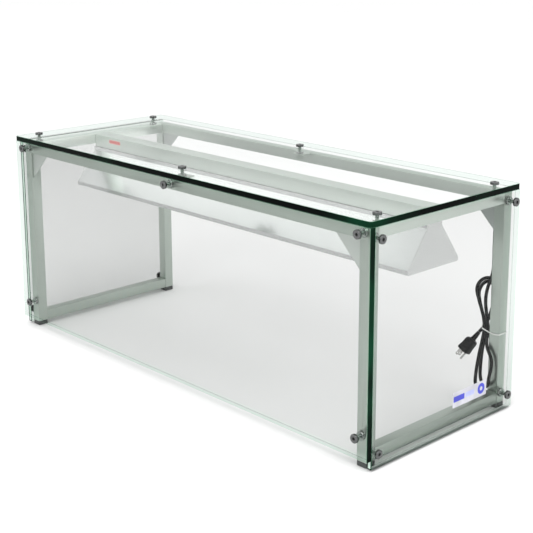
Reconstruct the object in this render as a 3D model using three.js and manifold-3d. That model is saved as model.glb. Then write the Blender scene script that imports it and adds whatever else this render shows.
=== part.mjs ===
// Hot food display case: a countertop case of thick glass panels on a frame of square steel tube, with a
// heated beam and its reflector hood under the top. Millimetres, +Z up, +Y to the open serving side at the
// back, the origin on the counter at the middle of the case.
import * as THREE from "three";
import { mergeVertices } from "three/addons/utils/BufferGeometryUtils.js";
import Module from "manifold-3d";

const wasm = await Module();
wasm.setup();

// Driving dimensions
const LENGTH = 1219; // of the top glass, along X
const DEPTH = 471; // of the top glass, along Y
const TOP_MIDDLE_Y = 2.5; // middle of the top glass, along Y
const GLASS = 12; // glass thickness
const TUBE = 25.4; // square tube
const WALL = 1.5; // wall of the tube and of the beam
const SHEET = 1.5; // reflector sheet
const GAP = 0.3; // between pieces that touch
const STANDOFF = 5; // from the frame to the glass
const FOOT = 11; // foot height
const FRAME_TOP = 487;
const FRONT_GLASS_BOTTOM = 23;
const SIDE_GLASS_BOTTOM = 4;
const FRAME_HALF = 591.5; // outer face of the end frames, along X
const FRAME_FRONT = -215;
const FRAME_REAR = 233;

// Fasteners
const CAP_RADIUS = 9.5;
const CAP_HEIGHT = 6;
const SHANK_RADIUS = 3.5;
const STUD_RADIUS = 2.5;
const STUD_LENGTH = 6;
const FASTENER_SIDES = 12;

// Heater, hood and switch
const BEAM_FRONT = -17.5;
const BEAM_REAR = 24.5;
const HOOD_MIDDLE = (BEAM_FRONT + BEAM_REAR) / 2;
const HOOD_HALF = 568; // half length
const HOOD_TOP = 454;
const HOOD_BOTTOM = 358;
const HOOD_LIP = 9.5; // upright edge at the top and at the bottom
const HOOD_NARROW = 23; // half width at the top
const HOOD_WIDE = 79; // half width at the bottom
const ELEMENT_Z = 408;
const ELEMENT_RADIUS = 5;
const ELEMENT_HALF = 550; // half length
const SUPPORT_X = 520; // inner face of each element support
const SWITCH_X = 500;
const SWITCH_BARREL = [13.2, 9.2]; // half sizes
const ROCKER_TILT = THREE.MathUtils.degToRad(10);

// Cord
const CORD_RADIUS = 3.8;
const CORD_X = 557; // the lead drops beside the inner face of the rear right post
const CORD_Y = 225;

// Derived places
const POST_INNER = FRAME_HALF - TUBE;
const FRONT_POST_REAR = FRAME_FRONT + TUBE;
const REAR_POST_FRONT = FRAME_REAR - TUBE;
const RAIL_BOTTOM = FRAME_TOP - TUBE;
const TOP_LOW = FRAME_TOP + STANDOFF;
const BEAM_MIDDLE_Z = (HOOD_TOP + FRAME_TOP) / 2;

const steel = (color, roughness) =>
  new THREE.MeshStandardMaterial({ color, roughness, metalness: 1 });
const plain = (color, roughness) =>
  new THREE.MeshStandardMaterial({ color, roughness, metalness: 0 });
const GLASS_MATERIAL = new THREE.MeshStandardMaterial({
  color: 0xd8ebe4,
  roughness: 0.05,
  metalness: 0,
  transparent: true,
  opacity: 0.3,
});
const FRAME_STEEL = steel(0xa9aeab, 0.4);
const GUSSET_STEEL = steel(0x7d817f, 0.45);
const REFLECTOR_STEEL = steel(0xcfd2d1, 0.35);
const CHROME = steel(0xdcdedf, 0.12);
const ELEMENT_METAL = steel(0x54504c, 0.6);
const CERAMIC = plain(0xe6e1d6, 0.6);
const FOOT_PLASTIC = plain(0x3a3d3c, 0.6);
const BLACK_PLASTIC = plain(0x151515, 0.4);
const CORD_JACKET = plain(0x121313, 0.5);
const TIE_PLASTIC = plain(0xeff0ee, 0.5);
const LABEL_RED = plain(0xc63a2f, 0.5);
const LABEL_WHITE = plain(0xf1f2f8, 0.5);

const unit = new THREE.Group();
export default unit;

function add(name, geometry, material, position = [0, 0, 0]) {
  const mesh = new THREE.Mesh(geometry, material);
  mesh.name = name;
  mesh.position.set(...position);
  unit.add(mesh);
  return mesh;
}

// ---- Closed geometry, joined and cut ----

function toSolid(geometry) {
  const bare = geometry.clone();
  bare.deleteAttribute("normal");
  bare.deleteAttribute("uv");
  const merged = mergeVertices(bare, 1e-4);
  const vertProperties = merged.attributes.position.array;
  const triVerts = new Uint32Array(merged.index.array);
  return new wasm.Manifold(new wasm.Mesh({ numProp: 3, vertProperties, triVerts }));
}

function toGeometry(solid) {
  const mesh = solid.getMesh();
  const geometry = new THREE.BufferGeometry();
  geometry.setAttribute("position", new THREE.BufferAttribute(mesh.vertProperties, 3));
  geometry.setIndex(new THREE.BufferAttribute(mesh.triVerts, 1));
  geometry.computeVertexNormals();
  return geometry;
}

function cut(geometry, cutters) {
  return toGeometry(cutters.reduce((solid, cutter) => solid.subtract(toSolid(cutter)), toSolid(geometry)));
}

function join(geometries) {
  return toGeometry(geometries.map(toSolid).reduce((whole, solid) => whole.add(solid)));
}

function boxBetween(low, high) {
  const size = high.map((value, axis) => value - low[axis]);
  const middle = high.map((value, axis) => (value + low[axis]) / 2);
  return new THREE.BoxGeometry(...size).translate(...middle);
}

// A cylinder along +Z from z = 0.
function rod(radius, length, sides) {
  return new THREE.CylinderGeometry(radius, radius, length, sides)
    .rotateX(Math.PI / 2)
    .translate(0, 0, length / 2);
}

// An outline drawn in the YZ plane, extruded along X from x = 0.
function alongX(shape, length) {
  const toYZX = new THREE.Matrix4().makeBasis(
    new THREE.Vector3(0, 1, 0),
    new THREE.Vector3(0, 0, 1),
    new THREE.Vector3(1, 0, 0),
  );
  const options = { depth: length, bevelEnabled: false, curveSegments: 8 };
  return new THREE.ExtrudeGeometry(shape, options).applyMatrix4(toYZX);
}

// An outline drawn in the XZ plane, extruded along Y from y = 0.
function alongY(shape, length) {
  const geometry = new THREE.ExtrudeGeometry(shape, { depth: length, bevelEnabled: false });
  return geometry.rotateX(Math.PI / 2).translate(0, length, 0);
}

function roundedRectangle(halfX, halfY, corner) {
  const [x, y] = [halfX - corner, halfY - corner];
  const shape = new THREE.Shape();
  shape.absarc(x, -y, corner, -Math.PI / 2, 0);
  shape.absarc(x, y, corner, 0, Math.PI / 2);
  shape.absarc(-x, y, corner, Math.PI / 2, Math.PI);
  shape.absarc(-x, -y, corner, Math.PI, Math.PI * 1.5);
  return shape;
}

function polygon(points) {
  return new THREE.Shape(points.map(([x, y]) => new THREE.Vector2(x, y)));
}

// ---- Fasteners: a button cap, its shank through the glass, the standoff barrel and a stud ----

const OUT = {
  up: [0, 0, 1],
  front: [0, -1, 0],
  left: [-1, 0, 0],
  right: [1, 0, 0],
};
const END_X = FRAME_HALF - TUBE / 2;
const FRONT_X = 577.5;
const TOP_REACH = 184; // from the middle of the top glass, along Y
const [FRONT_HIGH_Z, FRONT_LOW_Z] = [475, 66];
const [SIDE_HIGH_Z, SIDE_LOW_Z] = [466, 34];
const STUD_HOLE = STUD_RADIUS + 0.6;

function listFasteners() {
  const list = [];
  const put = (name, out, place) => list.push({ name, out, place });
  for (const [xName, x] of [["left", -END_X], ["middle", 0], ["right", END_X]]) {
    put(`fastener_top_front_${xName}`, "up", [x, TOP_MIDDLE_Y - TOP_REACH, FRAME_TOP]);
    put(`fastener_top_rear_${xName}`, "up", [x, TOP_MIDDLE_Y + TOP_REACH, FRAME_TOP]);
  }
  for (const [xName, x] of [["left", -FRONT_X], ["middle", 0], ["right", FRONT_X]])
    put(`fastener_front_upper_${xName}`, "front", [x, FRAME_FRONT, FRONT_HIGH_Z]);
  for (const [xName, x] of [["left", -FRONT_X], ["right", FRONT_X]])
    put(`fastener_front_lower_${xName}`, "front", [x, FRAME_FRONT, FRONT_LOW_Z]);
  for (const side of ["left", "right"])
    for (const [yName, y] of [["front", FRAME_FRONT + TUBE / 2], ["rear", FRAME_REAR - TUBE / 2]])
      for (const [zName, z] of [["upper", SIDE_HIGH_Z], ["lower", SIDE_LOW_Z]])
        put(`fastener_${side}_${yName}_${zName}`, side, [OUT[side][0] * FRAME_HALF, y, z]);
  return list;
}

const FASTENERS = listFasteners();

function pointed(geometry, { out, place }) {
  const turn = new THREE.Quaternion().setFromUnitVectors(
    new THREE.Vector3(0, 0, 1),
    new THREE.Vector3(...OUT[out]),
  );
  return geometry.applyQuaternion(turn).translate(...place);
}

// Holes for the fasteners of one side, through the glass or into the tube behind it.
function holes(filter, radius, depth) {
  return FASTENERS.filter(filter).map((fastener) =>
    pointed(rod(radius, 2 * depth, FASTENER_SIDES).translate(0, 0, -depth), fastener),
  );
}

function fastenerGeometry() {
  const barrelTop = STANDOFF - GAP;
  const capBase = STANDOFF + GLASS + GAP;
  const capTop = STANDOFF + GLASS + CAP_HEIGHT;
  const edge = 1.5;
  const [socketRadius, socketDepth] = [3.4, 3.5];
  const profile = [
    [0, -STUD_LENGTH],
    [STUD_RADIUS, -STUD_LENGTH],
    [STUD_RADIUS, GAP],
    [CAP_RADIUS, GAP],
    [CAP_RADIUS, barrelTop],
    [SHANK_RADIUS, barrelTop],
    [SHANK_RADIUS, capBase],
    [CAP_RADIUS, capBase],
    [CAP_RADIUS, capTop - edge],
    [CAP_RADIUS - edge, capTop],
    [0, capTop],
  ].map(([r, z]) => new THREE.Vector2(r, z));
  const body = new THREE.LatheGeometry(profile, FASTENER_SIDES).rotateX(Math.PI / 2);
  const socket = rod(socketRadius, CAP_HEIGHT, 6).translate(0, 0, capTop - socketDepth);
  return cut(body, [socket]);
}

function addFasteners() {
  for (const fastener of FASTENERS) {
    const mesh = add(fastener.name, fastenerGeometry(), CHROME, fastener.place);
    mesh.quaternion.setFromUnitVectors(new THREE.Vector3(0, 0, 1), new THREE.Vector3(...OUT[fastener.out]));
  }
}

// ---- Glass ----

function addGlass() {
  const drill = (out) => holes((f) => f.out === out, SHANK_RADIUS + 0.5, STANDOFF + GLASS + 1);
  const outline = roundedRectangle(LENGTH / 2, DEPTH / 2, 8);
  const options = { depth: GLASS, bevelEnabled: false, curveSegments: 4 };
  const topPlate = new THREE.ExtrudeGeometry(outline, options).translate(0, TOP_MIDDLE_Y, TOP_LOW);
  add("top_glass", cut(topPlate, drill("up")), GLASS_MATERIAL);

  const glassTop = TOP_LOW - 1;
  const frontRear = FRAME_FRONT - STANDOFF;
  const frontHalf = LENGTH / 2 - 2;
  const frontLow = [-frontHalf, frontRear - GLASS, FRONT_GLASS_BOTTOM];
  const front = boxBetween(frontLow, [frontHalf, frontRear, glassTop]);
  add("front_glass", cut(front, drill("front")), GLASS_MATERIAL);

  const inner = FRAME_HALF + STANDOFF;
  for (const [side, [sign]] of [["left", OUT.left], ["right", OUT.right]]) {
    const [lowX, highX] = [sign * inner, sign * (inner + GLASS)].sort((a, b) => a - b);
    const low = [lowX, frontRear + 1, SIDE_GLASS_BOTTOM];
    const plate = boxBetween(low, [highX, FRAME_REAR + 4, glassTop]);
    add(`${side}_glass`, cut(plate, drill(side)), GLASS_MATERIAL);
  }
}

// ---- Frame ----

// A straight square tube along one axis (0, 1 or 2), open at both ends unless it is closed at its top.
function tube(low, high, axis, closedTop = false) {
  const boreLow = low.map((value, i) => (i === axis ? value - 1 : value + WALL));
  const boreHigh = high.map((value, i) => (i === axis ? value + 1 : value - WALL));
  if (closedTop) boreHigh[2] = high[2] - WALL;
  return cut(boxBetween(low, high), [boxBetween(boreLow, boreHigh)]);
}

function drilledTube(name, low, high, axis, closedTop) {
  const near = ({ place }) => place.every((value, i) => value >= low[i] - 1 && value <= high[i] + 1);
  const geometry = tube(low, high, axis, closedTop);
  add(name, cut(geometry, holes(near, STUD_HOLE, STUD_LENGTH + 2)), FRAME_STEEL);
}

function addFrame() {
  const yRanges = [["front", FRAME_FRONT, FRONT_POST_REAR], ["rear", REAR_POST_FRONT, FRAME_REAR]];
  const xRanges = [["left", -FRAME_HALF, -POST_INNER], ["right", POST_INNER, FRAME_HALF]];
  for (const [yName, yLow, yHigh] of yRanges) {
    for (const [xName, xLow, xHigh] of xRanges)
      drilledTube(`${yName}_${xName}_post`, [xLow, yLow, FOOT], [xHigh, yHigh, FRAME_TOP], 2, true);
    const end = POST_INNER - GAP;
    drilledTube(`${yName}_top_rail`, [-end, yLow, RAIL_BOTTOM], [end, yHigh, FRAME_TOP], 0);
  }
  for (const [xName, xLow, xHigh] of xRanges) {
    const [yLow, yHigh] = [FRONT_POST_REAR + GAP, REAR_POST_FRONT - GAP];
    drilledTube(`${xName}_top_rail`, [xLow, yLow, RAIL_BOTTOM], [xHigh, yHigh, FRAME_TOP], 1);
    const bottom = [[xLow, yLow, FOOT], [xHigh, yHigh, FOOT + TUBE]];
    drilledTube(`${xName}_bottom_rail`, ...bottom, 1);
  }
}

// Triangular plates that stiffen the corners between the posts and the long rails.
function addGussets() {
  const [leg, thick, inset] = [65, 3, 3];
  const corner = POST_INNER - GAP;
  const top = RAIL_BOTTOM - GAP;
  for (const [xName, sign] of [["left", -1], ["right", 1]]) {
    const plate = polygon([[sign * corner, top], [sign * (corner - leg), top], [sign * corner, top - leg]]);
    for (const [yName, y] of [["front", FRAME_FRONT], ["rear", REAR_POST_FRONT]])
      add(`${yName}_${xName}_gusset`, alongY(plate, thick), GUSSET_STEEL, [0, y + inset, 0]);
  }
}

function addFeet() {
  const [stem, stemTop] = [TUBE / 2 - WALL - 0.4, FOOT + 12];
  const half = TUBE / 2;
  for (const [xName, x] of [["left", -END_X], ["right", END_X]])
    for (const [yName, y] of [["front", FRAME_FRONT + half], ["rear", FRAME_REAR - half]]) {
      const pad = boxBetween([-half, -half, 0], [half, half, FOOT - GAP]);
      const plug = boxBetween([-stem, -stem, FOOT / 2], [stem, stem, stemTop]);
      add(`${yName}_${xName}_foot`, join([pad, plug]), FOOT_PLASTIC, [x, y, 0]);
    }
}

// Tabs inside the long rails for the middle fasteners of the top glass.
function addTopTabs() {
  const [halfWidth, reach, thick] = [17.5, 30, 3];
  const front = [FRONT_POST_REAR + GAP, FRONT_POST_REAR + reach];
  const rear = [REAR_POST_FRONT - reach, REAR_POST_FRONT - GAP];
  for (const [yName, [yLow, yHigh]] of [["front", front], ["rear", rear]]) {
    const plate = boxBetween([-halfWidth, yLow, FRAME_TOP - thick], [halfWidth, yHigh, FRAME_TOP]);
    const mine = ({ name }) => name === `fastener_top_${yName}_middle`;
    add(`${yName}_rail_tab`, cut(plate, holes(mine, STUD_HOLE, STUD_LENGTH + 2)), FRAME_STEEL);
  }
}

// ---- Heater ----

function addHeaterHousing() {
  const end = POST_INNER - GAP;
  const low = [-end, BEAM_FRONT, HOOD_TOP + GAP];
  const high = [end, BEAM_REAR, FRAME_TOP];
  const [halfX, halfZ] = SWITCH_BARREL.map((half) => half + GAP);
  const cutout = boxBetween(
    [SWITCH_X - halfX, BEAM_REAR - 2 * WALL, BEAM_MIDDLE_Z - halfZ],
    [SWITCH_X + halfX, BEAM_REAR + WALL, BEAM_MIDDLE_Z + halfZ],
  );
  add("heater_housing", cut(tube(low, high, 0), [cutout]), FRAME_STEEL);
}

// Half of the hood's section, from the top to the bottom edge, at a distance inside the outer face.
function hoodSide(inside) {
  const slopeTop = HOOD_TOP - HOOD_LIP;
  const slopeBottom = HOOD_BOTTOM + HOOD_LIP;
  return [
    [HOOD_NARROW - inside, HOOD_TOP - inside],
    [HOOD_NARROW - inside, slopeTop],
    [HOOD_WIDE - inside, slopeBottom],
    [HOOD_WIDE - inside, HOOD_BOTTOM],
  ];
}

const mirrored = (points) => points.map(([y, z]) => [-y, z]).reverse();

function addReflector() {
  const outer = hoodSide(0);
  const inner = hoodSide(SHEET);
  const outline = [...mirrored(outer), ...outer, ...[...inner].reverse(), ...mirrored(inner).reverse()];
  const sheet = alongX(polygon(outline), 2 * HOOD_HALF);
  add("reflector_hood", sheet, REFLECTOR_STEEL, [-HOOD_HALF, HOOD_MIDDLE, 0]);
  const plate = alongX(polygon([...mirrored(outer), ...outer]), SHEET);
  add("hood_left_end", plate, REFLECTOR_STEEL, [-HOOD_HALF - GAP - SHEET, HOOD_MIDDLE, 0]);
  add("hood_right_end", plate.clone(), REFLECTOR_STEEL, [HOOD_HALF + GAP, HOOD_MIDDLE, 0]);
}

function addHeatingElement() {
  const along = rod(ELEMENT_RADIUS, 2 * ELEMENT_HALF, 12).rotateY(Math.PI / 2);
  add("heating_element", along, ELEMENT_METAL, [-ELEMENT_HALF, HOOD_MIDDLE, ELEMENT_Z]);
  const [thick, halfY, low] = [12, 13, ELEMENT_Z - 12];
  const bore = rod(ELEMENT_RADIUS + GAP, 4 * thick, 12).rotateY(Math.PI / 2);
  const block = boxBetween([0, -halfY, low], [thick, halfY, HOOD_TOP - SHEET - GAP]);
  const holder = cut(block, [bore.translate(-thick, 0, ELEMENT_Z)]);
  add("element_left_support", holder, CERAMIC, [-SUPPORT_X - thick, HOOD_MIDDLE, 0]);
  add("element_right_support", holder.clone(), CERAMIC, [SUPPORT_X, HOOD_MIDDLE, 0]);
}

// ---- Power switch, on the serving side of the beam ----

function addSwitch() {
  const [barrelX, barrelZ] = SWITCH_BARREL;
  const [pocketX, pocketZ, pocketFloor] = [11.6, 7.6, -10.4];
  const flange = boxBetween([-15.5, GAP, -11.5], [15.5, 2, 11.5]);
  const barrel = boxBetween([-barrelX, pocketFloor - 1.6, -barrelZ], [barrelX, 1, barrelZ]);
  const pocket = boxBetween([-pocketX, pocketFloor, -pocketZ], [pocketX, 3, pocketZ]);
  const place = [SWITCH_X, BEAM_REAR, BEAM_MIDDLE_Z];
  const axle = (radius, half) => rod(radius, 2 * half, FASTENER_SIDES).translate(0, 0, -half);
  const bezel = cut(join([flange, barrel]), [pocket, axle(1.5, 10)]);
  add("switch_bezel", bezel, BLACK_PLASTIC, place);

  // The face is a shallow V, so either half lies flush when it is pressed.
  const [halfX, middle, underX, underY] = [10.6, 2, 6, -7];
  const end = middle + halfX * Math.tan(ROCKER_TILT);
  const face = [[-underX, underY], [-halfX, -1], [-halfX, end], [0, middle], [halfX, end], [halfX, -1]];
  const outline = polygon([...face, [underX, underY]].reverse());
  const thick = 2 * (pocketZ - 0.4);
  const paddle = new THREE.ExtrudeGeometry(outline, { depth: thick, bevelEnabled: false });
  const rocker = join([paddle.translate(0, 0, -thick / 2), axle(1.2, 8.6)]);
  add("switch_rocker", rocker, BLACK_PLASTIC, place).rotation.z = -ROCKER_TILT;
}

// ---- Cord, its plug and its tie ----

// A stretch of cord along a smooth curve through the points.
function cordTube(points, steps) {
  const section = new THREE.Shape().absarc(0, 0, CORD_RADIUS, 0, 2 * Math.PI);
  const path = new THREE.CatmullRomCurve3(points.map((p) => new THREE.Vector3(...p)));
  const options = { extrudePath: path, steps, curveSegments: 4, bevelEnabled: false };
  return new THREE.ExtrudeGeometry(section, options);
}

const RELIEF_TOP = RAIL_BOTTOM - GAP;
const RELIEF_LENGTH = 31;
const CORD_EXIT = RELIEF_TOP - RELIEF_LENGTH;

function addStrainRelief() {
  const profile = [
    [0, 0],
    [7.4, 0],
    [7.4, -3],
    [6.4, -5],
    [4.8, -RELIEF_LENGTH],
    [0, -RELIEF_LENGTH],
  ].map(([r, z]) => new THREE.Vector2(r, z));
  const relief = new THREE.LatheGeometry(profile.reverse(), 16).rotateX(Math.PI / 2);
  add("cord_strain_relief", relief, BLACK_PLASTIC, [CORD_X, CORD_Y, RELIEF_TOP]);
}

// The hank: its outline narrows where the tie pulls the strands together.
const HANK_LOW = 29.5;
const HANK_TOP = 288;
const WAIST_Z = 170;
const HANK_X = [534.8, 561.2];
const [WAIST_FRONT, WAIST_REAR] = [209.5, 233.5];

function addHank() {
  const [front, rear, round] = [185.5, 241.3, 27.9];
  const [waistLow, waistHigh] = [WAIST_Z - 10, WAIST_Z + 10]; // the straight part
  const [bendLow, bendHigh] = [WAIST_Z - 50, WAIST_Z + 50];
  const middle = (front + rear) / 2;
  const shape = new THREE.Shape();
  shape.moveTo(front, HANK_LOW + round);
  shape.absarc(middle, HANK_LOW + round, round, Math.PI, 2 * Math.PI);
  shape.quadraticCurveTo(rear, bendLow, WAIST_REAR, waistLow);
  shape.lineTo(WAIST_REAR, waistHigh);
  shape.quadraticCurveTo(rear, bendHigh, rear, HANK_TOP - round);
  shape.absarc(middle, HANK_TOP - round, round, 0, Math.PI);
  shape.quadraticCurveTo(front, bendHigh, WAIST_FRONT, waistHigh);
  shape.lineTo(WAIST_FRONT, waistLow);
  shape.quadraticCurveTo(front, bendLow, front, HANK_LOW + round);
  const [lowX, highX] = HANK_X;
  add("cord_hank", alongX(shape, highX - lowX), CORD_JACKET, [lowX, 0, 0]);
}

function addCord() {
  const lead = [
    [CORD_X, CORD_Y, CORD_EXIT - GAP],
    [CORD_X, CORD_Y, 380],
    [CORD_X, CORD_Y, 335],
    [CORD_X + 0.5, CORD_Y - 0.5, HANK_TOP + 1],
  ];
  add("cord_lead", cordTube(lead, 8), CORD_JACKET);
  const slack = [
    [565.5, 202.8, 134],
    [573, 200.8, 123.5],
    [578.9, 200, 112.5],
    [581.2, 198.7, 101],
    [581.4, 196.6, 89.5],
    [580.4, 194.1, 78.5],
    [579.4, 192.6, 67],
    [576.7, 194.2, 55.4],
    [569.4, 198.4, 46.9],
    [565.6, 200.6, 44.7],
  ];
  add("cord_slack", cordTube(slack, 9), CORD_JACKET);
}

// A grounded plug: moulded body, tapered relief, two blades and a round pin, pointing along its own +Z.
const PLUG_AT = [519.5, 212.5, 140.2]; // middle of the body's rear face
const PLUG_POINTS = new THREE.Vector3(-0.42, -0.44, -0.79).normalize();
const PLUG_BODY = [15, 13, 34]; // half width, half height, length
const BLADE_X = 6.35;
const PIN_Y = -7.2;

function addPlug() {
  const [halfX, halfY, bodyLength] = PLUG_BODY;
  const options = { depth: bodyLength, bevelEnabled: false, curveSegments: 3 };
  const body = new THREE.ExtrudeGeometry(roundedRectangle(halfX, halfY, 5), options);
  const reliefProfile = [[0, -20], [4.6, -20], [7.5, 1], [0, 1]].map(([r, z]) => new THREE.Vector2(r, z));
  const relief = new THREE.LatheGeometry(reliefProfile, 12).rotateX(Math.PI / 2);
  const [thin, bladeLow, bladeHigh, bladeTip] = [0.75, 1.5, 7.8, bodyLength + 16];
  const blade = (x) => boxBetween([x - thin, bladeLow, bodyLength - 1], [x + thin, bladeHigh, bladeTip]);
  const pin = rod(2.4, 20, 10).translate(0, PIN_Y, bodyLength - 1);
  const plug = join([body, relief, blade(-BLADE_X), blade(BLADE_X), pin]);
  add("cord_plug", plug, BLACK_PLASTIC, PLUG_AT).quaternion.setFromUnitVectors(
    new THREE.Vector3(0, 0, 1),
    PLUG_POINTS,
  );
}

// A band round the waist of the hank and the post beside it.
function addTie() {
  const [thick, height, clear] = [1.6, 3, 0.5];
  const ring = (grow) => [
    [HANK_X[0] - grow, WAIST_FRONT],
    [HANK_X[0], WAIST_FRONT - grow],
    [POST_INNER, REAR_POST_FRONT - 0.4 - grow],
    [FRAME_HALF, REAR_POST_FRONT - grow],
    [FRAME_HALF + grow, REAR_POST_FRONT],
    [FRAME_HALF + grow, FRAME_REAR],
    [FRAME_HALF, FRAME_REAR + grow],
    [HANK_X[1], WAIST_REAR + grow],
    [HANK_X[0], WAIST_REAR + grow],
    [HANK_X[0] - grow, WAIST_REAR],
  ];
  const band = polygon(ring(clear + thick));
  band.holes.push(polygon(ring(clear)));
  const geometry = new THREE.ExtrudeGeometry(band, { depth: height, bevelEnabled: false });
  add("cord_tie", geometry, TIE_PLASTIC, [0, 0, WAIST_Z - height / 2]);
}

// ---- Labels ----

const CAUTION_X = [-503, -455];
const CAUTION_Z = [470, 480];
const STICKER_Y = [29.5, 143.5];
const STICKER_Z = [58, 92];

function addLabels() {
  const thick = 0.4;
  const front = BEAM_FRONT - GAP;
  const cautionLow = [CAUTION_X[0], front - thick, CAUTION_Z[0]];
  add("caution_label", boxBetween(cautionLow, [CAUTION_X[1], front, CAUTION_Z[1]]), LABEL_RED);
  const face = FRAME_HALF + STANDOFF + GLASS + GAP;
  const stickerHigh = [face + thick, STICKER_Y[1], STICKER_Z[1]];
  add("glass_sticker", boxBetween([face, STICKER_Y[0], STICKER_Z[0]], stickerHigh), LABEL_WHITE);
}

addGlass();
addFrame();
addGussets();
addFeet();
addFasteners();
addTopTabs();
addHeaterHousing();
addReflector();
addHeatingElement();
addSwitch();
addStrainRelief();
addCord();
addHank();
addPlug();
addTie();
addLabels();
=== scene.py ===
"""Hot food display case: the looks of the glass, the brushed frame, the heater and the cord."""

import math

import bmesh
import bpy
from mathutils import Matrix, Vector


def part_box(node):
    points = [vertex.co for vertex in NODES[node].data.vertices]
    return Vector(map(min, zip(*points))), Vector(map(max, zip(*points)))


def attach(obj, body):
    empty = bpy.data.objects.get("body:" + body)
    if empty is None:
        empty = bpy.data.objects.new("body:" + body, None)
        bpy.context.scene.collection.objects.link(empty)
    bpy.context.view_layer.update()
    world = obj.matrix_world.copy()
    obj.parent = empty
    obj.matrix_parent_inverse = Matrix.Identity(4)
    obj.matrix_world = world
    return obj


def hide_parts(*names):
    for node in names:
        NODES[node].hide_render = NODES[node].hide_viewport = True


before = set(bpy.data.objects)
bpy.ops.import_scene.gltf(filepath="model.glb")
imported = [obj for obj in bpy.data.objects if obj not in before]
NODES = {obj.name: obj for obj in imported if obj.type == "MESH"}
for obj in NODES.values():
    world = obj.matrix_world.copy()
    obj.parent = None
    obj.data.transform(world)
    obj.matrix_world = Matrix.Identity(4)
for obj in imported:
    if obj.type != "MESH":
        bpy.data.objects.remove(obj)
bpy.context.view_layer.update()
UP = Vector((0, 0, 1))

# ---- Camera ----

# The lens is in millimetres, for a sensor 36 wide. The shift is a share of the picture's width.
CAMERA_AT = (2.0174, -1.8126, 1.0541)
CAMERA_TURN = (math.pi / 2 - 0.225, 0.0, 0.803)
CAMERA_LENS = 80.26
CAMERA_SHIFT = (-0.034, -0.15)


def add_camera():
    data = bpy.data.cameras.new("camera")
    data.lens = CAMERA_LENS
    data.sensor_width = 36
    data.shift_x, data.shift_y = CAMERA_SHIFT
    camera = bpy.data.objects.new("camera", data)
    camera.location = CAMERA_AT
    camera.rotation_euler = CAMERA_TURN
    bpy.context.scene.collection.objects.link(camera)
    bpy.context.scene.camera = camera


# ---- Node material helpers ----


class Shader:
    """A node material with a Principled shader, and short calls to build what feeds it."""

    def __init__(self, name, **values):
        self.material = bpy.data.materials.new(name)
        self.material.use_nodes = True
        self.tree = self.material.node_tree
        self.principled = self.tree.nodes["Principled BSDF"]
        self.output = self.tree.nodes["Material Output"]
        for key, value in values.items():
            self.principled.inputs[key.replace("_", " ")].default_value = value

    def add(self, kind, settings=None, **inputs):
        node = self.tree.nodes.new("ShaderNode" + kind)
        for key, value in (settings or {}).items():
            setattr(node, key, value)
        for key, value in inputs.items():
            self.feed(node.inputs[key.replace("_", " ")], value)
        return node

    def feed(self, socket, value):
        if isinstance(value, bpy.types.NodeSocket):
            self.tree.links.new(value, socket)
        else:
            socket.default_value = value

    def math(self, operation, a, b):
        node = self.add("Math", {"operation": operation})
        self.feed(node.inputs[0], a)
        self.feed(node.inputs[1], b)
        return node.outputs[0]

    def object_coords(self, scale=(1, 1, 1)):
        coords = self.add("TexCoord").outputs["Object"]
        return self.add("Mapping", Vector=coords, Scale=scale).outputs[0]

    def noise(self, vector, scale, detail=3.0):
        node = self.add("TexNoise", Vector=vector, Scale=scale, Detail=detail)
        return node.outputs["Fac"]

    def ramp(self, factor, stops):
        node = self.add("ValToRGB", Fac=factor)
        elements = node.color_ramp.elements
        while len(elements) < len(stops):
            elements.new(0.5)
        for element, (position, color) in zip(elements, stops):
            element.position = position
            element.color = grey(color) if isinstance(color, float) else (*color, 1)
        return node.outputs[0]

    def spread(self, factor, low, high):
        """The middle of the factor's range, 0.3 to 0.7, spread between two values."""
        node = self.add("MapRange", Value=factor, From_Min=0.3, From_Max=0.7, To_Min=low, To_Max=high)
        return node.outputs[0]

    def bump(self, height, strength, distance):
        node = self.add("Bump", Strength=strength, Distance=distance, Height=height)
        self.feed(self.principled.inputs["Normal"], node.outputs[0])

    def blend(self, factor, first, second):
        mix = self.add("MixShader", Fac=factor)
        self.feed(mix.inputs[1], first)
        self.feed(mix.inputs[2], second)
        return mix.outputs[0]

    def show(self, surface):
        """Makes a shader the surface, and drops the Principled one if nothing uses it."""
        self.feed(self.output.inputs["Surface"], surface)
        if not self.principled.outputs[0].is_linked:
            self.tree.nodes.remove(self.principled)

    def set(self, **inputs):
        for key, value in inputs.items():
            self.feed(self.principled.inputs[key.replace("_", " ")], value)


def grey(value):
    return (value, value, value, 1)


GRAIN = 2200.0  # streaks per metre, across the grain
STREAK_LENGTH = 120  # how many times longer a streak is than it is wide


def brushed(name, color, roughness, along, contrast=0.05, metallic=1.0):
    """Brushed steel with its grain along one axis: fine streaks in colour, roughness and bump."""
    s = Shader(name, Metallic=metallic)
    scale = [GRAIN, GRAIN, GRAIN]
    scale[along] = GRAIN / STREAK_LENGTH
    streaks = s.noise(s.object_coords(scale), 1.0, 2.0)
    cloud = s.noise(s.object_coords(), 4.0, 2.0)
    tone = s.math("ADD", s.math("MULTIPLY", streaks, 0.6), s.math("MULTIPLY", cloud, 0.4))
    low = [c * (1 - contrast) for c in color]
    high = [c * (1 + contrast) for c in color]
    s.set(Base_Color=s.ramp(tone, [(0.3, low), (0.7, high)]))
    s.set(Roughness=s.spread(streaks, roughness - 0.04, roughness + 0.06))
    s.bump(streaks, 0.05, 0.0001)
    return s.material


HEAD_ON = 0.006  # the share of light that a pane mirrors when met head on
GRAZING = 0.35  # the share that it mirrors at a grazing angle


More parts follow.
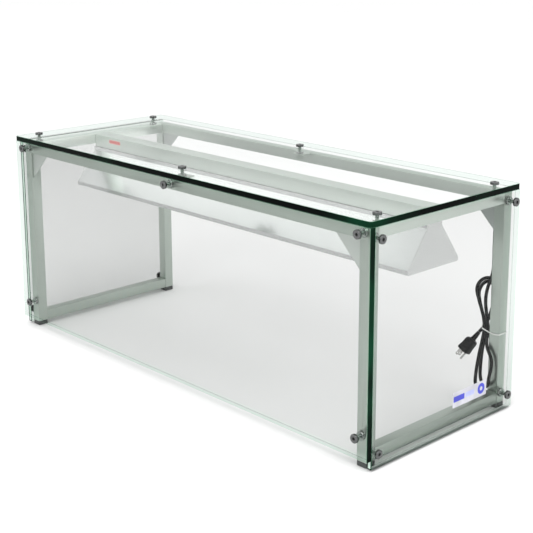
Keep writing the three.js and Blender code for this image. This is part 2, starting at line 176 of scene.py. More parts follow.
def clear_glass(name, low, high):
    """The clear faces of a pane: slightly tinted, with the faint mirror of glass on top."""
    s = Shader(name)
    cloud = s.noise(s.object_coords(), 3.0, 2.0)
    tint = s.ramp(cloud, [(0.3, low), (0.7, high)])
    clear = s.add("BsdfTransparent", Color=tint)
    mirror = s.add("BsdfGlossy", Color=grey(0.9), Roughness=s.spread(cloud, 0.0, 0.012))
    facing = s.add("LayerWeight", Blend=0.5).outputs["Facing"]
    slant = s.math("POWER", facing, 5.0)
    mirrored = s.math("ADD", s.math("MULTIPLY", slant, GRAZING), HEAD_ON)
    s.show(s.blend(mirrored, clear.outputs[0], mirror.outputs[0]))
    return s.material


def glass_edge(name, stops, inside, grip=0.05):
    """A polished edge: deep green seen from outside, and nearly clear seen through the pane."""
    s = Shader(name, Roughness=0.12, IOR=1.3, Specular_IOR_Level=grip)
    bands = s.noise(s.object_coords((3.0, 3.0, 3.0)), 1.0, 2.0)
    s.set(Base_Color=s.ramp(bands, stops))
    clear = s.add("BsdfTransparent", Color=(*inside, 1))
    behind = s.add("NewGeometry").outputs["Backfacing"]
    s.show(s.blend(behind, s.principled.outputs[0], clear.outputs[0]))
    return s.material


def moulded(name, color, roughness, grain=700.0, strength=0.15, coat=0.0, shine=0.5):
    """Moulded plastic or rubber: a fine grain, and a little unevenness in tone and gloss."""
    s = Shader(name, Coat_Weight=coat, Specular_IOR_Level=shine)
    fine = s.noise(s.object_coords(), grain, 2.0)
    cloud = s.noise(s.object_coords(), 30.0, 3.0)
    low = [c * 0.85 for c in color]
    high = [min(1.0, c * 1.12) for c in color]
    s.set(Base_Color=s.ramp(cloud, [(0.3, low), (0.7, high)]))
    s.set(Roughness=s.spread(cloud, roughness - 0.06, roughness + 0.06))
    s.bump(fine, strength, 0.0002)
    return s.material


def polished(name, color, roughness):
    """Chrome, with faint handling haze."""
    s = Shader(name, Metallic=1.0, Base_Color=(*color, 1))
    haze = s.noise(s.object_coords(), 120.0, 3.0)
    s.set(Roughness=s.spread(haze, roughness, roughness + 0.06))
    return s.material


# The frame's steel. The posts, the heater housing and the top side rails get lighter copies of it: painted
# light, where lamps fall brighter on those parts
FRAME_TONE = (0.45, 0.505, 0.46)
POST_TONE_PAINTED_LIGHTER = (0.49, 0.545, 0.50)
EDGE_GREENS = [(0.44, (0.001, 0.002, 0.0015)), (0.58, (0.002, 0.012, 0.006)), (0.72, (0.004, 0.075, 0.03))]
# Pale mint for the front edge of each side pane: painted light, standing in for light carried through the
# glass and out at its edge
PAINTED_LIGHT_GREENS = [(0.35, (0.52, 0.66, 0.58)), (0.7, (0.72, 0.84, 0.77))]
ARRIS_GREENS = [(0.3, (0.015, 0.09, 0.045)), (0.7, (0.10, 0.30, 0.18))]
EDGE_INSIDE = (0.86, 0.92, 0.89)
ARRIS_INSIDE = (0.07, 0.13, 0.10)
MATERIALS = {
    "glass": clear_glass("clear_glass", (0.866, 0.870, 0.867), (0.876, 0.879, 0.877)),
    "top_glass": clear_glass("clear_top_glass", (0.950, 0.958, 0.953), (0.960, 0.966, 0.962)),
    "margin": clear_glass("glass_margin", (0.83, 0.885, 0.85), (0.87, 0.91, 0.885)),
    "edge": glass_edge("glass_edge", EDGE_GREENS, EDGE_INSIDE),
    "painted_light_edge": glass_edge("glass_edge_painted_light", PAINTED_LIGHT_GREENS, EDGE_INSIDE),
    "arris": glass_edge("glass_arris", ARRIS_GREENS, ARRIS_INSIDE, 0.4),
    "steel_x": brushed("brushed_steel_x", FRAME_TONE, 0.34, 0),
    "steel_y": brushed("brushed_steel_y", FRAME_TONE, 0.34, 1),
    "steel_z": brushed("brushed_steel_z", POST_TONE_PAINTED_LIGHTER, 0.34, 2),
    # Lighter copies of the frame's steel on the housing and the top side rails: painted light
    "housing": brushed("housing_steel_painted_light", (0.60, 0.655, 0.61), 0.34, 0),
    "side_rail": brushed("side_rail_steel_painted_light", (0.72, 0.78, 0.73), 0.34, 1),
    # The front gussets are a lighter copy of the frame's steel: painted light; the rear ones keep about the
    # frame's tone
    "front_gusset": brushed("front_gusset_steel_painted_light", (0.62, 0.66, 0.63), 0.4, 0),
    "rear_gusset": brushed("rear_gusset_steel", (0.45, 0.48, 0.465), 0.42, 0),
    "reflector": brushed("reflector_steel", (0.61, 0.622, 0.618), 0.2, 0, 0.02),
    "hood_end": brushed("hood_end_steel", (0.78, 0.79, 0.785), 0.24, 0, 0.02),
    "chrome": polished("chrome", (0.12, 0.123, 0.123), 0.16),
    "shank": polished("shank_steel", (0.36, 0.37, 0.365), 0.25),
    "socket": moulded("socket_shadow", (0.012, 0.012, 0.012), 0.5),
    "element": brushed("element_sheath", (0.10, 0.09, 0.08), 0.5, 0, 0.3, 0.8),
    "ceramic": moulded("ceramic", (0.74, 0.70, 0.62), 0.55, 500.0, 0.3),
    "foot": moulded("foot_plastic", (0.045, 0.05, 0.048), 0.5),
    "plastic": moulded("black_plastic", (0.012, 0.012, 0.012), 0.38, 900.0, 0.1),
    "rocker": moulded("rocker_plastic", (0.02, 0.02, 0.021), 0.25, 900.0, 0.05, 0.3),
    "cord": moulded("cord_jacket", (0.007, 0.008, 0.008), 0.45, 1200.0, 0.2, shine=0.2),
    "plug": moulded("plug_rubber", (0.006, 0.007, 0.007), 0.5, 900.0, 0.2, shine=0.18),
    "prong": polished("prong_metal", (0.62, 0.62, 0.60), 0.2),
    "tie": moulded("tie_plastic", (0.80, 0.81, 0.79), 0.4, 600.0, 0.1),
    "label_red": moulded("label_red", (0.55, 0.035, 0.025), 0.4, 900.0, 0.05),
    "label_border": moulded("label_border", (0.80, 0.50, 0.46), 0.4, 900.0, 0.05),
    "sticker": moulded("sticker_film", (0.53, 0.53, 0.575), 0.4, 900.0, 0.05, shine=0.2),
    "sticker_blue": moulded("sticker_blue", (0.035, 0.045, 0.50), 0.35, 900.0, 0.05),
    "sticker_pale": moulded("sticker_pale_blue", (0.42, 0.45, 0.80), 0.35, 900.0, 0.05),
}

# ---- Pieces ----

SMOOTH_UNDER = math.radians(30)  # two faces that meet at less than this are shaded as one
SHARP_OVER = math.radians(50)  # an edge that turns by more than this is rounded off
WELD = 1e-6  # points that lie closer than this are one

# How far the edges of each kind of piece are rounded off
TUBE_EDGE = 0.0012
FOOT_EDGE = 0.001
CERAMIC_EDGE = 0.0008
SWITCH_EDGE = 0.0006
GUSSET_EDGE = 0.0005
TAB_EDGE = 0.0004
SHEET_EDGE = 0.0003


def put(obj, body, slot, *replaced):
    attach(obj, body)
    if replaced:
        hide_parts(*replaced)
    return obj


def link(name, data, materials):
    obj = bpy.data.objects.new(name, data)
    for key in materials:
        data.materials.append(MATERIALS[key])
    bpy.context.scene.collection.objects.link(obj)
    return obj


def mesh_object(name, bm, materials):
    mesh = bpy.data.meshes.new(name)
    bmesh.ops.recalc_face_normals(bm, faces=bm.faces)
    for face in bm.faces:
        face.smooth = True
    for edge in bm.edges:
        if len(edge.link_faces) == 2:
            edge.smooth = edge.calc_face_angle() < SMOOTH_UNDER
    bm.to_mesh(mesh)
    bm.free()
    return link(name, mesh, materials)


def cad_solid(node):
    """A CAD node's solid with its flat faces whole."""
    bm = bmesh.new()
    bm.from_mesh(NODES[node].data)
    bmesh.ops.remove_doubles(bm, verts=bm.verts, dist=WELD)
    bmesh.ops.dissolve_limit(bm, angle_limit=math.radians(1), verts=bm.verts, edges=bm.edges)
    return bm


def softened(node, width, segments=2):
    """The node's solid with its sharp edges rounded off."""
    bm = cad_solid(node)
    edges = [e for e in bm.edges if len(e.link_faces) == 2 and e.calc_face_angle() > SHARP_OVER]
    bmesh.ops.bevel(
        bm, geom=edges, offset=width, segments=segments, profile=0.5, affect="EDGES", clamp_overlap=True
    )
    return bm


def refine(node, material, slot, width, segments=2, body="case"):
    """Replaces a CAD node with the same solid, its edges rounded off by a width."""
    obj = mesh_object(node + "_piece", softened(node, width, segments), [material])
    return put(obj, body, slot, node)


def lathe(bm, profile, place, sides=32):
    """Revolves (radius, height) points about +Z, then moves them by the matrix place."""
    rings = []
    for radius, height in profile:
        count = 1 if radius == 0 else sides
        turns = [2 * math.pi * i / sides for i in range(count)]
        ring = [place @ Vector((radius * math.cos(a), radius * math.sin(a), height)) for a in turns]
        rings.append([bm.verts.new(point) for point in ring])
    faces = []
    for low, high in zip(rings, rings[1:]):
        for i in range(sides):
            j = (i + 1) % sides
            corners = [low[i % len(low)], low[j % len(low)], high[j % len(high)], high[i % len(high)]]
            faces.append(bm.faces.new(list(dict.fromkeys(corners))))
    return faces


def ribbed(start, end, wide, narrow, ribs, groove, cuts):
    """A tapered (radius, height) profile with grooves round it, cut at three shares of each rib's length."""
    points = []
    step = (end - start) / ribs
    for i in range(ribs):
        z = start + step * i
        radius = wide + (narrow - wide) * i / ribs
        brim, floor_start, floor_end = (z + step * cut for cut in cuts)
        points += [(radius, z), (radius, brim), (radius - groove, floor_start), (radius - groove, floor_end)]
    return points


def pointing(at, direction):
    """A place whose own +Z points along the direction."""
    return Matrix.Translation(at) @ UP.rotation_difference(Vector(direction)).to_matrix().to_4x4()


# ---- Glass panes ----

PANE_AXIS = {"top_glass": 2, "front_glass": 1, "left_glass": 0, "right_glass": 0}
ARRIS_WIDTH = 0.0008
MARGIN = 0.0045  # the rim of a pane that shows its edge's green
EDGE_LINE = 0.0024  # the dark line down each side of a side pane's front edge
HOLE_INSET = 0.003  # a narrow face further in from the pane's outline than this is the wall of a hole
SQUARE_ON = 0.99  # a face whose normal has a share this large along an axis looks along it
EDGE_ON = 0.1  # a face whose normal has a smaller share than this along an axis runs along it
BROAD, EDGE, ARRIS, PAINTED_LIGHT_EDGE, RIM = range(5)  # the parts of a pane, in the order of its materials


def pane_part(face, axis, low, high):
    """The part of a pane that a face belongs to. The pane is thin along the axis."""
    share = [abs(c) for c in face.normal]
    middle = face.calc_center_median()
    inset = min(min(middle[i] - low[i], high[i] - middle[i]) for i in range(3) if i != axis)
    if share[axis] > SQUARE_ON:
        return BROAD
    if inset > HOLE_INSET:
        return RIM
    # A side pane's front edge takes the pale mint edge material, which is painted light
    if axis == 0 and face.normal.y < -SQUARE_ON:
        return PAINTED_LIGHT_EDGE
    if max(share) > SQUARE_ON or share[axis] < EDGE_ON:
        return EDGE
    return ARRIS


def add_panes():
    for node, axis in PANE_AXIS.items():
        bm = softened(node, ARRIS_WIDTH, 1)
        low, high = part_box(node)
        for face in bm.faces:
            face.material_index = pane_part(face, axis, low, high)
        for part, border, width in ((BROAD, RIM, MARGIN), (PAINTED_LIGHT_EDGE, EDGE, EDGE_LINE)):
            faces = [face for face in bm.faces if face.material_index == part]
            if faces:
                ring = bmesh.ops.inset_region(bm, faces=faces, thickness=width, use_even_offset=True)
                for face in ring["faces"]:
                    face.material_index = border
        clear = "top_glass" if node == "top_glass" else "glass"
        obj = mesh_object(node + "_pane", bm, [clear, "edge", "arris", "painted_light_edge", "margin"])
        put(obj, "case", "glass", node)


# ---- Frame ----


def add_frame():
    tubes = {
        "steel_x": ["front_top_rail", "rear_top_rail"],
        "housing": ["heater_housing"],
        "side_rail": ["left_top_rail", "right_top_rail"],
        "steel_y": ["left_bottom_rail", "right_bottom_rail"],
        "steel_z": [f"{y}_{x}_post" for y in ("front", "rear") for x in ("left", "right")],
    }
    for material, nodes in tubes.items():
        for node in nodes:
            refine(node, material, "frame", TUBE_EDGE, 3)
    for y in ("front", "rear"):
        refine(f"{y}_rail_tab", "steel_x", "frame", TAB_EDGE)
    for y in ("front", "rear"):
        for x in ("left", "right"):
            refine(f"{y}_{x}_gusset", y + "_gusset", "gusset", GUSSET_EDGE)
            refine(f"{y}_{x}_foot", "foot", "foot", FOOT_EDGE, 3)


# ---- Fasteners ----

# Heights along a fastener, in metres from the frame's face
STUD_TIP = -0.006
BARREL_FOOT = 0.0003
BARREL_TOP = 0.0047
SHANK_TOP = 0.0172  # faces above it are the cap's
CAP_BASE = 0.0173
CAP_TOP = 0.023
SOCKET_FLOOR = CAP_TOP - 0.0035

STUD_RADIUS = 0.0025
SHANK_RADIUS = 0.0035
CAP_RADIUS = 0.0095  # the barrel's too
CAP_ROUNDING = 0.0014
CHAMFER = 0.0005
CAP_CHAMFER = 0.0004  # under the cap
SOCKET_RIM = 0.0042
SOCKET_RADIUS = 0.0036
FASTENER_SIDES = 40
CAP_PART, SOCKET_PART, SHANK_PART = range(3)  # in the order of a fastener's materials


def fastener_profile():
    """The stud, barrel, shank and cap of one fastener, from the stud's tip up."""
    stud = [(0, STUD_TIP), (STUD_RADIUS - CHAMFER, STUD_TIP), (STUD_RADIUS, STUD_TIP + CHAMFER)]
    stud.append((STUD_RADIUS, BARREL_FOOT))
    barrel = [(CAP_RADIUS - CHAMFER, BARREL_FOOT), (CAP_RADIUS, BARREL_FOOT + CHAMFER)]
    barrel += [(CAP_RADIUS, BARREL_TOP - CHAMFER), (CAP_RADIUS - CHAMFER, BARREL_TOP)]
    shank = [(SHANK_RADIUS, BARREL_TOP), (SHANK_RADIUS, CAP_BASE)]
    cap = [(CAP_RADIUS - CAP_CHAMFER, CAP_BASE), (CAP_RADIUS, CAP_BASE + CAP_CHAMFER)]
    for a in [math.radians(degrees) for degrees in (0, 25, 50, 75, 90)]:
        inward, down = CAP_ROUNDING * (1 - math.cos(a)), CAP_ROUNDING * (1 - math.sin(a))
        cap.append((CAP_RADIUS - inward, CAP_TOP - down))
    return stud + barrel + shank + cap


def hexagon_reach(radius, angle):
    """How far out the side of a hexagon is at an angle, if its corners are at the radius."""
    return radius * math.cos(math.pi / 6) / math.cos(angle % (math.pi / 3) - math.pi / 6)


def add_fastener(node, direction):
    """A button with a hexagonal socket sunk in its cap."""
    low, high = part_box(node)
    middle = (low + high) / 2
    place = pointing(middle - Vector(direction) * (STUD_TIP + CAP_TOP) / 2, direction)
    own = place.inverted()
    bm = bmesh.new()
    for face in lathe(bm, fastener_profile(), place, FASTENER_SIDES):
        if (own @ face.calc_center_median()).z < SHANK_TOP:
            face.material_index = SHANK_PART

    def angle_of(vert):
        return math.atan2((own @ vert.co).y, (own @ vert.co).x)

    previous = [vert for vert in bm.verts if abs((own @ vert.co).z - CAP_TOP) < WELD]
    previous.sort(key=angle_of)
    angles = [angle_of(vert) for vert in previous]
    steps = [
        (SOCKET_RIM, CAP_TOP, CAP_PART),
        (SOCKET_RADIUS, CAP_TOP - CHAMFER, CAP_PART),
        (SOCKET_RADIUS, SOCKET_FLOOR, SOCKET_PART),
    ]
    for radius, height, part in steps:
        ring = []
        for a in angles:
            reach = hexagon_reach(radius, a)
            ring.append(bm.verts.new(place @ Vector((reach * math.cos(a), reach * math.sin(a), height))))
        for i in range(len(ring)):
            j = (i + 1) % len(ring)
            bm.faces.new((previous[i], previous[j], ring[j], ring[i])).material_index = part
        previous = ring
    bm.faces.new(previous).material_index = SOCKET_PART
    put(mesh_object(node + "_cap", bm, ["chrome", "socket", "shank"]), "case", "chrome", node)


def add_fasteners():
    directions = {"top": (0, 0, 1), "front": (0, -1, 0), "left": (-1, 0, 0), "right": (1, 0, 0)}
    for node in sorted(NODES):
        if node.startswith("fastener_"):
            add_fastener(node, directions[node.split("_")[1]])


# ---- Heater ----


def add_heater():
    refine("reflector_hood", "reflector", "reflector", SHEET_EDGE, 1)
    for side in ("left", "right"):
        refine(f"hood_{side}_end", "hood_end", "reflector", SHEET_EDGE, 1)
        refine(f"element_{side}_support", "ceramic", "ceramic", CERAMIC_EDGE)
    low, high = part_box("heating_element")
    length, radius = high.x - low.x, (high.z - low.z) / 2
    neck, neck_length, round_off = radius * 0.7, 0.012, 0.001
    end = [(0, 0), (neck - round_off, 0), (neck, round_off), (neck, neck_length)]
    end += [(radius - round_off, neck_length), (radius, neck_length + round_off)]
    profile = end + [(r, length - h) for r, h in reversed(end)]
    bm = bmesh.new()
    lathe(bm, profile, pointing((low.x, (low.y + high.y) / 2, (low.z + high.z) / 2), (1, 0, 0)))
    put(mesh_object("heating_rod", bm, ["element"]), "case", "element", "heating_element")


def add_switch():
    refine("switch_bezel", "plastic", "black_plastic", SWITCH_EDGE)
    refine("switch_rocker", "rocker", "black_plastic", SWITCH_EDGE, 3, body="switch_rocker")


# ---- Cord ----

MM = 0.001
CORD_DIAMETER = 0.0076
HANDLE_REACH = 0.34  # a curve handle's length, as a share of the way to the next point
LEAD_X, LEAD_Y = 557, 225  # where the lead hangs, in millimetres


def fold(start, end, way):
    """Half a turn of cord between two level points, below (-1) or above (1) them, with its directions."""
    start, end = Vector(start), Vector(end)
    middle, radius = (start + end) / 2, (end - start).length / 2
    out, rise = start - middle, UP * way * radius
    points = []
    for a in [math.radians(degrees) for degrees in range(0, 181, 30)]:
        place = middle + out * math.cos(a) + rise * math.sin(a)
        points.append((place, rise * math.cos(a) - out * math.sin(a)))
    return points


# Points in millimetres. At a fold each point comes with the direction of the cord there.
CORD_ROUTE = [
    # down from the strain relief, beside the rear right post
    (LEAD_X, LEAD_Y, 430), (LEAD_X, LEAD_Y, 412), (LEAD_X, LEAD_Y, 390), (LEAD_X, LEAD_Y, 352),
    (558.5, 223.4, 327), (560.5, 219.5, 305), (559, 214.5, 287), (556.5, 208.3, 269), (555.2, 204.6, 250),
    # under the tie, then loosely in front of the post
    (555.2, 204.8, 231), (555.8, 208, 211), (556, 212.3, 191), (555.4, 215.4, 172), (556, 213, 158),
    (559, 208, 145.5), (565.5, 202.8, 134), (573, 200.8, 123.5), (578.9, 200, 112.5), (581.2, 198.7, 101),
    (581.4, 196.6, 89.5), (580.4, 194.1, 78.5), *fold((579.4, 192.6, 67), (539.2, 215.8, 67), -1),
    # up on the left
    (539, 217.3, 90), (540, 219.4, 118), (543, 221.3, 145), (544.5, 222.1, 170), (542.6, 218, 193),
    (540, 211.2, 215), (538.2, 203, 238), *fold((537.4, 195.4, 264), (559.5, 236.2, 264), 1),
    # down at the back
    (559.4, 236, 244), (558.9, 234, 222), (558, 229.5, 201), (557.4, 225.5, 182), (557.3, 223.3, 163),
    (557.4, 224.7, 143), (556, 228.5, 122), (553.6, 232.7, 99), (551.8, 234.9, 78),
    *fold((551, 235.4, 57), (546.6, 188.9, 57), -1),
    # up in the middle
    (546.7, 190.4, 76), (547, 194.6, 99), (547.4, 200.2, 122), (547.6, 207.8, 146), (547.5, 213.4, 170),
    (547.6, 210.8, 192), (546.8, 204, 214), (545.8, 196.4, 237),
    *fold((545.4, 192.3, 256), (551.8, 238, 256), 1),
    # down to the plug
    (551.7, 237.6, 238), (550.4, 236.6, 219), (547.3, 234.2, 201), (542.9, 231, 185), (537.2, 227.6, 171),
    (528.5, 222, 157.5),
]


def shape_cord(points):
    """Places the points of the cord's curve, with handles that keep a fold close to a true arc."""
    route = [item if isinstance(item[0], Vector) else (Vector(item), None) for item in CORD_ROUTE]
    places = [place for place, _ in route]
    for i, (place, along) in enumerate(route):
        before = place - places[max(i - 1, 0)]
        after = places[min(i + 1, len(places) - 1)] - place
        if along is None and 0 < i < len(places) - 1:
            along = before.normalized() * after.length + after.normalized() * before.length
        elif along is None:
            along = before + after
        along = along.normalized()
        point = points[i]
        point.handle_left_type = point.handle_right_type = "FREE"
        point.co = place * MM
        point.handle_left = (place - along * before.length * HANDLE_REACH) * MM
        point.handle_right = (place + along * after.length * HANDLE_REACH) * MM


def add_cord(plug, tie):
    data = bpy.data.curves.new("power_cord", "CURVE")
    data.dimensions = "3D"
    data.bevel_depth = CORD_DIAMETER / 2
    data.bevel_resolution = 5
    data.resolution_u = 8
    data.use_fill_caps = True
    spline = data.splines.new("BEZIER")
    spline.bezier_points.add(len(CORD_ROUTE) - 1)
    shape_cord(spline.bezier_points)
    cord = link("power_cord", data, ["cord"])
    put(cord, "case", "cord", "cord_lead", "cord_slack", "cord_hank")


def add_strain_relief():
    """A tapered relief with ribs round it, below a flat collar."""
    low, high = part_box("cord_strain_relief")
    radius, length = (high.x - low.x) / 2, high.z - low.z
    collar, wide, taper, groove, tip = 0.003, radius * 0.86, 0.00192, 0.0008, 0.0044
    profile = [(0, 0), (radius - 0.0006, 0), (radius, 0.0006)]
    profile += [(radius, collar - 0.0004), (radius - 0.001, collar)]
    profile += ribbed(collar + 0.001, length - 0.003, wide, wide - taper, 6, groove, (0.6, 0.7, 1.0))
    profile += [(tip + 0.0004, length - 0.002), (tip, length), (0, length)]
    bm = bmesh.new()
    top = ((low.x + high.x) / 2, (low.y + high.y) / 2, high.z)
    lathe(bm, profile, pointing(top, (0, 0, -1)))
    put(mesh_object("relief", bm, ["plastic"]), "case", "black_plastic", "cord_strain_relief")


# ---- Plug and tie ----

PLUG_PLACE = pointing(Vector((519.5, 212.5, 140.2)) * MM, (-0.42, -0.44, -0.79))
# (z, half width, half height, roundness) from the rear to the face, in millimetres
PLUG_SECTIONS = [
    (1.0, 6.0, 6.0, 2.4), (1.4, 9.6, 8.6, 3.2), (2.2, 11.4, 9.8, 3.8), (3.8, 12.6, 10.8, 4.2),
    (6.0, 13.2, 11.4, 4.6), (9.0, 13.5, 11.8, 4.8), (11.0, 13.4, 12.0, 4.8), (12.0, 12.9, 12.0, 4.8),
    (22.0, 13.0, 12.3, 4.8), (23.0, 13.7, 12.5, 4.8), (25.0, 14.2, 12.7, 5.0), (30.0, 14.6, 12.9, 5.0),
    (32.8, 14.6, 12.9, 5.0), (33.6, 14.3, 12.6, 5.0), (34.0, 13.6, 11.9, 5.0),
]
PLUG_SIDES = 48
BLADE_X = 6.35  # how far each blade is from the plug's middle, in millimetres
PIN_Y = -7.2  # where the round pin is along the plug's own Y, in millimetres


def superellipse(half_x, half_y, roundness, count):
    points = []
    for i in range(count):
        a = 2 * math.pi * i / count
        c, s = math.cos(a), math.sin(a)
        x = math.copysign(abs(c) ** (2 / roundness), c) * half_x
        y = math.copysign(abs(s) ** (2 / roundness), s) * half_y
        points.append((x, y))
    return points


def loft(bm, rings, place, material=0, closed=False):
    """Joins rings of (x, y, z) points, and caps both ends unless the rings close on themselves."""
    made = [[bm.verts.new(place @ Vector(point)) for point in ring] for ring in rings]
    pairs = list(zip(made, made[1:] + made[:1] if closed else made[1:]))
    faces = []
    for low, high in pairs:
        for i in range(len(low)):
            j = (i + 1) % len(low)
            faces.append(bm.faces.new((low[i], low[j], high[j], high[i])))
    if not closed:
        faces += [bm.faces.new(made[0][::-1]), bm.faces.new(made[-1])]
    for face in faces:
        face.material_index = material


def add_blade(bm, x):
    """A flat blade of the plug with chamfered tip corners and a hole through it, thin along X."""
    low, high, root, tip, thin, chamfer = 1.5, 7.8, 33.0, 50.0, 0.75, 1.6
    middle, hole, hole_z = (low + high) / 2, 1.6, 45.0
    outer = [(low, root), (high, root), (high, hole_z), (high, tip - chamfer), (high - chamfer, tip)]
    outer += [(low + chamfer, tip), (low, tip - chamfer), (low, hole_z)]
    turns = [math.radians(degrees) for degrees in range(0, 360, 30)]
    ring = [(middle + hole * math.cos(a), hole_z + hole * math.sin(a)) for a in turns]
    sides = []
    for side in (-1, 1):
        across = x + side * thin
        verts = [bm.verts.new(PLUG_PLACE @ (Vector((across, y, z)) * MM)) for y, z in outer + ring]
        rim, bore = verts[: len(outer)], verts[len(outer):]
        edges = []
        for loop in (rim, bore):
            edges += [bm.edges.new((a, b)) for a, b in zip(loop, loop[1:] + loop[:1])]
        filled = bmesh.ops.triangle_fill(bm, use_beauty=True, edges=edges)["geom"]
        for item in filled:
            if isinstance(item, bmesh.types.BMFace):
                item.material_index = 1
        sides.append((rim, bore))
    for near, far in zip(*sides):
        for i in range(len(near)):
            j = (i + 1) % len(near)
            bm.faces.new((near[i], near[j], far[j], far[i])).material_index = 1


def add_plug():
    """The moulded body, its ribbed relief, two blades and a round pin."""
    bm = bmesh.new()
    rings = [
        [(x * MM, y * MM, z * MM) for x, y in superellipse(half_x, half_y, roundness, PLUG_SIDES)]
        for z, half_x, half_y, roundness in PLUG_SECTIONS
    ]
    loft(bm, rings, PLUG_PLACE)
    ribs = ribbed(-19.6, 1.4, 4.6, 6.6, 6, 0.9, (0.55, 0.68, 0.9))
    relief = [(0, -20), (4.3, -20), *ribs, (6.2, 1.4), (0, 1.4)]
    lathe(bm, [(r * MM, z * MM) for r, z in relief], PLUG_PLACE)
    for x in (-BLADE_X, BLADE_X):
        add_blade(bm, x)
    pin = [(0, 33), (2.4, 33), (2.4, 50.6), (2.1, 51.8), (1.3, 52.7), (0, 53)]
    shift = Matrix.Translation((0, PIN_Y * MM, 0))
    for face in lathe(bm, [(r * MM, z * MM) for r, z in pin], PLUG_PLACE @ shift, 24):
        face.material_index = 1
    return put(mesh_object("plug", bm, ["plug", "prong"]), "case", "plug", "cord_plug")


# The tie's middle line round the strands and the post, with the height of each corner, in millimetres.
TIE_ROUTE = [
    (531.9, 228.2, 172.3), (532.6, 225.2, 172.5), (543.4, 210.8, 172.9), (544.9, 209.3, 172.7),
    (565.6, 206.8, 169), (580, 206.3, 167.8), (591.2, 206.5, 169.4), (592.5, 207.8, 169.6),
    (592.5, 232.6, 170), (591.2, 234.0, 170), (566, 234.2, 170.4), (539.2, 233.9, 171.8), (534.6, 232.4, 172),
]
TIE_SIZE = (0.75, 1.5)  # half thickness, half height
TIE_LOCK = (553, 234.6, 171.2)
LOCK_SIZE = (2.6, 1.9)  # half width, half depth
LOCK_SECTIONS = [(-2.4, 0.85), (-2.0, 1.0), (2.0, 1.0), (2.4, 0.85)]  # height, share of the full size


def add_tie():
    """A flat band round the strands and the post, with its lock at the back."""
    points = [Vector(p) * MM for p in TIE_ROUTE]
    rings = []
    for i, point in enumerate(points):
        ahead, behind = points[(i + 1) % len(points)], points[i - 1]
        along = ((ahead - point).normalized() + (point - behind).normalized()).normalized()
        across = along.cross(UP).normalized()
        section = superellipse(*TIE_SIZE, 3.0, 12)
        rings.append([tuple(point + (across * a + UP * b) * MM) for a, b in section])
    bm = bmesh.new()
    loft(bm, rings, Matrix.Identity(4), closed=True)
    outline = superellipse(*LOCK_SIZE, 4.0, 16)
    lock = [[(x * share * MM, y * share * MM, z * MM) for x, y in outline] for z, share in LOCK_SECTIONS]
    loft(bm, lock, Matrix.Translation(Vector(TIE_LOCK) * MM))
    return put(mesh_object("tie", bm, ["tie"]), "case", "tie", "cord_tie")


# ---- Labels ----

FILM = 0.0003  # a label's thickness
PRINT = 0.0001  # how far a printed shape stands out of its label, and reaches into it
RED_BORDER = 0.0012
# Each bar on the sticker: its middle, its half width, its half height and its material
STICKER_BARS = [(-0.036, 0.001, 0.018, 0.0062, 1), (0.0005, 0.001, 0.0145, 0.0052, 2)]
DISC_AT = (0.039, 0.0005)
DISC_RADIUS = 0.012
DISC_HOLE = 0.0045


def slab(bm, outline, low, high, material, place):
    """A flat plate with the outline drawn across its own +Z."""
    loft(bm, [[(x, y, z) for x, y in outline] for z in (low, high)], place, material)


def rounded(half_x, half_y, radius):
    """The outline of a rectangle with rounded corners."""
    steps = 4
    points = []
    for turn, (side_x, side_y) in enumerate(((1, 1), (-1, 1), (-1, -1), (1, -1))):
        corner_x, corner_y = side_x * (half_x - radius), side_y * (half_y - radius)
        for i in range(steps + 1):
            a = math.pi / 2 * (turn + i / steps)
            points.append((corner_x + radius * math.cos(a), corner_y + radius * math.sin(a)))
    return points


def moved(outline, at):
    return [(at[0] + x, at[1] + y) for x, y in outline]


def label_place(node, normal, across):
    """The middle of a thin node's back, with +Z out of it and +X along its length, and the node's size."""
    low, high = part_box(node)
    size = high - low
    normal, across = Vector(normal), Vector(across)
    back = (low + high) / 2 - normal * size.dot(Vector([abs(c) for c in normal])) / 2
    turn = Matrix((across, normal.cross(across), normal)).transposed().to_4x4()
    return Matrix.Translation(back) @ turn, size


def add_red_label():
    place, size = label_place("caution_label", (0, -1, 0), (1, 0, 0))
    half_x, half_z = size.x / 2, size.z / 2
    bm = bmesh.new()
    slab(bm, rounded(half_x, half_z, 0.0015), 0, FILM, 0, place)
    field = rounded(half_x - RED_BORDER, half_z - RED_BORDER, 0.001)
    slab(bm, field, FILM - PRINT, FILM + PRINT, 1, place)
    put(mesh_object("red_label", bm, ["label_border", "label_red"]), "case", "caution_label", "caution_label")


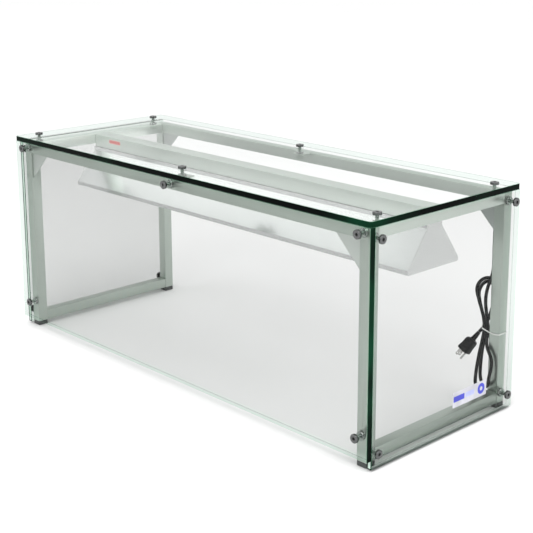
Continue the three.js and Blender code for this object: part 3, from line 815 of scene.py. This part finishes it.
def add_sticker():
    place, size = label_place("glass_sticker", (1, 0, 0), (0, 1, 0))
    bm = bmesh.new()
    slab(bm, rounded(size.y / 2, size.z / 2, 0.002), 0, FILM, 0, place)
    for x, y, half_x, half_y, material in STICKER_BARS:
        bar = moved(rounded(half_x, half_y, 0.0012), (x, y))
        slab(bm, bar, FILM - PRINT, FILM + PRINT, material, place)
    disc = moved(superellipse(DISC_RADIUS, DISC_RADIUS, 2.0, 40), DISC_AT)
    slab(bm, disc, FILM - PRINT, FILM + PRINT, 1, place)
    hole = moved(superellipse(DISC_HOLE, DISC_HOLE, 2.0, 32), DISC_AT)
    slab(bm, hole, FILM, FILM + 2 * PRINT, 0, place)
    materials = ["sticker", "sticker_blue", "sticker_pale"]
    put(mesh_object("side_sticker", bm, materials), "case", "sticker", "glass_sticker")


# ---- Floor and lights ----

FLOOR_HALF = 12
FLOOR_DROP = 0.0005  # the floor lies this far below the feet
FLOOR_TONES = [(0.3, 0.945), (0.7, 0.96)]
SKY_STRENGTH = 1.05
# Each area lamp: its name, its place, what it points at, its width and its watts
LAMPS = [
    ("key", (1.2, -2.6, 2.6), (0, 0, 0.2), 1.8, 60),
    ("fill", (3.2, 0.6, 1.8), (0, 0, 0.2), 1.6, 25),
    ("left", (-2.4, -1.6, 2.2), (0, 0, 0.4), 1.6, 8),
]


def add_floor():
    bm = bmesh.new()
    bmesh.ops.create_grid(bm, x_segments=1, y_segments=1, size=FLOOR_HALF)
    floor = mesh_object("floor", bm, [])
    s = Shader("floor", Roughness=0.9)
    s.set(Base_Color=s.ramp(s.noise(s.object_coords(), 0.5), FLOOR_TONES))
    floor.data.materials.append(s.material)
    floor.location.z = -FLOOR_DROP


def add_light():
    world = bpy.data.worlds.new("studio")
    world.use_nodes = True
    background = world.node_tree.nodes["Background"]
    background.inputs["Color"].default_value = grey(1.0)
    background.inputs["Strength"].default_value = SKY_STRENGTH
    bpy.context.scene.world = world
    for name, place, aim, size, power in LAMPS:
        data = bpy.data.lights.new(name, "AREA")
        data.size, data.energy = size, power
        lamp = bpy.data.objects.new(name, data)
        lamp.location = place
        lamp.rotation_euler = (Vector(aim) - Vector(place)).to_track_quat("-Z", "Y").to_euler()
        bpy.context.scene.collection.objects.link(lamp)
    bpy.context.scene.view_settings.view_transform = "Standard"


add_camera()
add_cord(add_plug(), add_tie())
add_strain_relief()
add_panes()
add_frame()
add_fasteners()
add_heater()
add_switch()
add_red_label()
add_sticker()
add_floor()
add_light()
